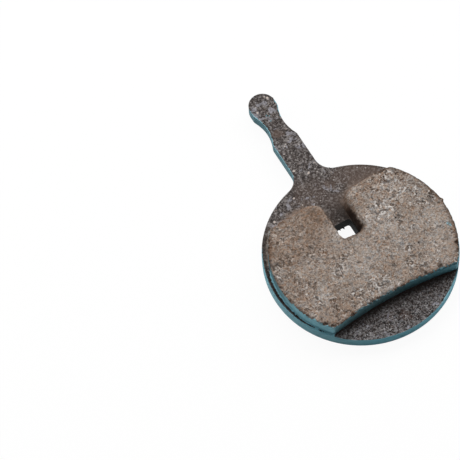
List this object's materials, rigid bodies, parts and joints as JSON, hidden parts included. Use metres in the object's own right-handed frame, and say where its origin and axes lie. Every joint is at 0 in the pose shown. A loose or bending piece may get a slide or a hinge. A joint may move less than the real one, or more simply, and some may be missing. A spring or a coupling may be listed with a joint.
{
  "type": "bicycle disc brake pad",
  "caption": "Round disc brake pad: a painted steel backing plate with a waisted finger tab, centre bore and square spring hole, carrying a slotted friction block.",
  "frame": {"origin": "on the axis of the centre bore, in the plane of the plate's back face", "axes": "+Z out of the friction face, +Y along the finger tab, +X to the right of the tab seen from the friction side"},
  "size_m": [0.0304, 0.0477, 0.0042],
  "materials": {
    "plate_paint": "satin teal powder coat on steel, bare and stained on the front",
    "friction_compound": "matt granular moulded compound"
  },
  "bodies": {
    "root": {"backing_plate": "plate_paint", "friction_block": "friction_compound"}
  },
  "joints": []
}
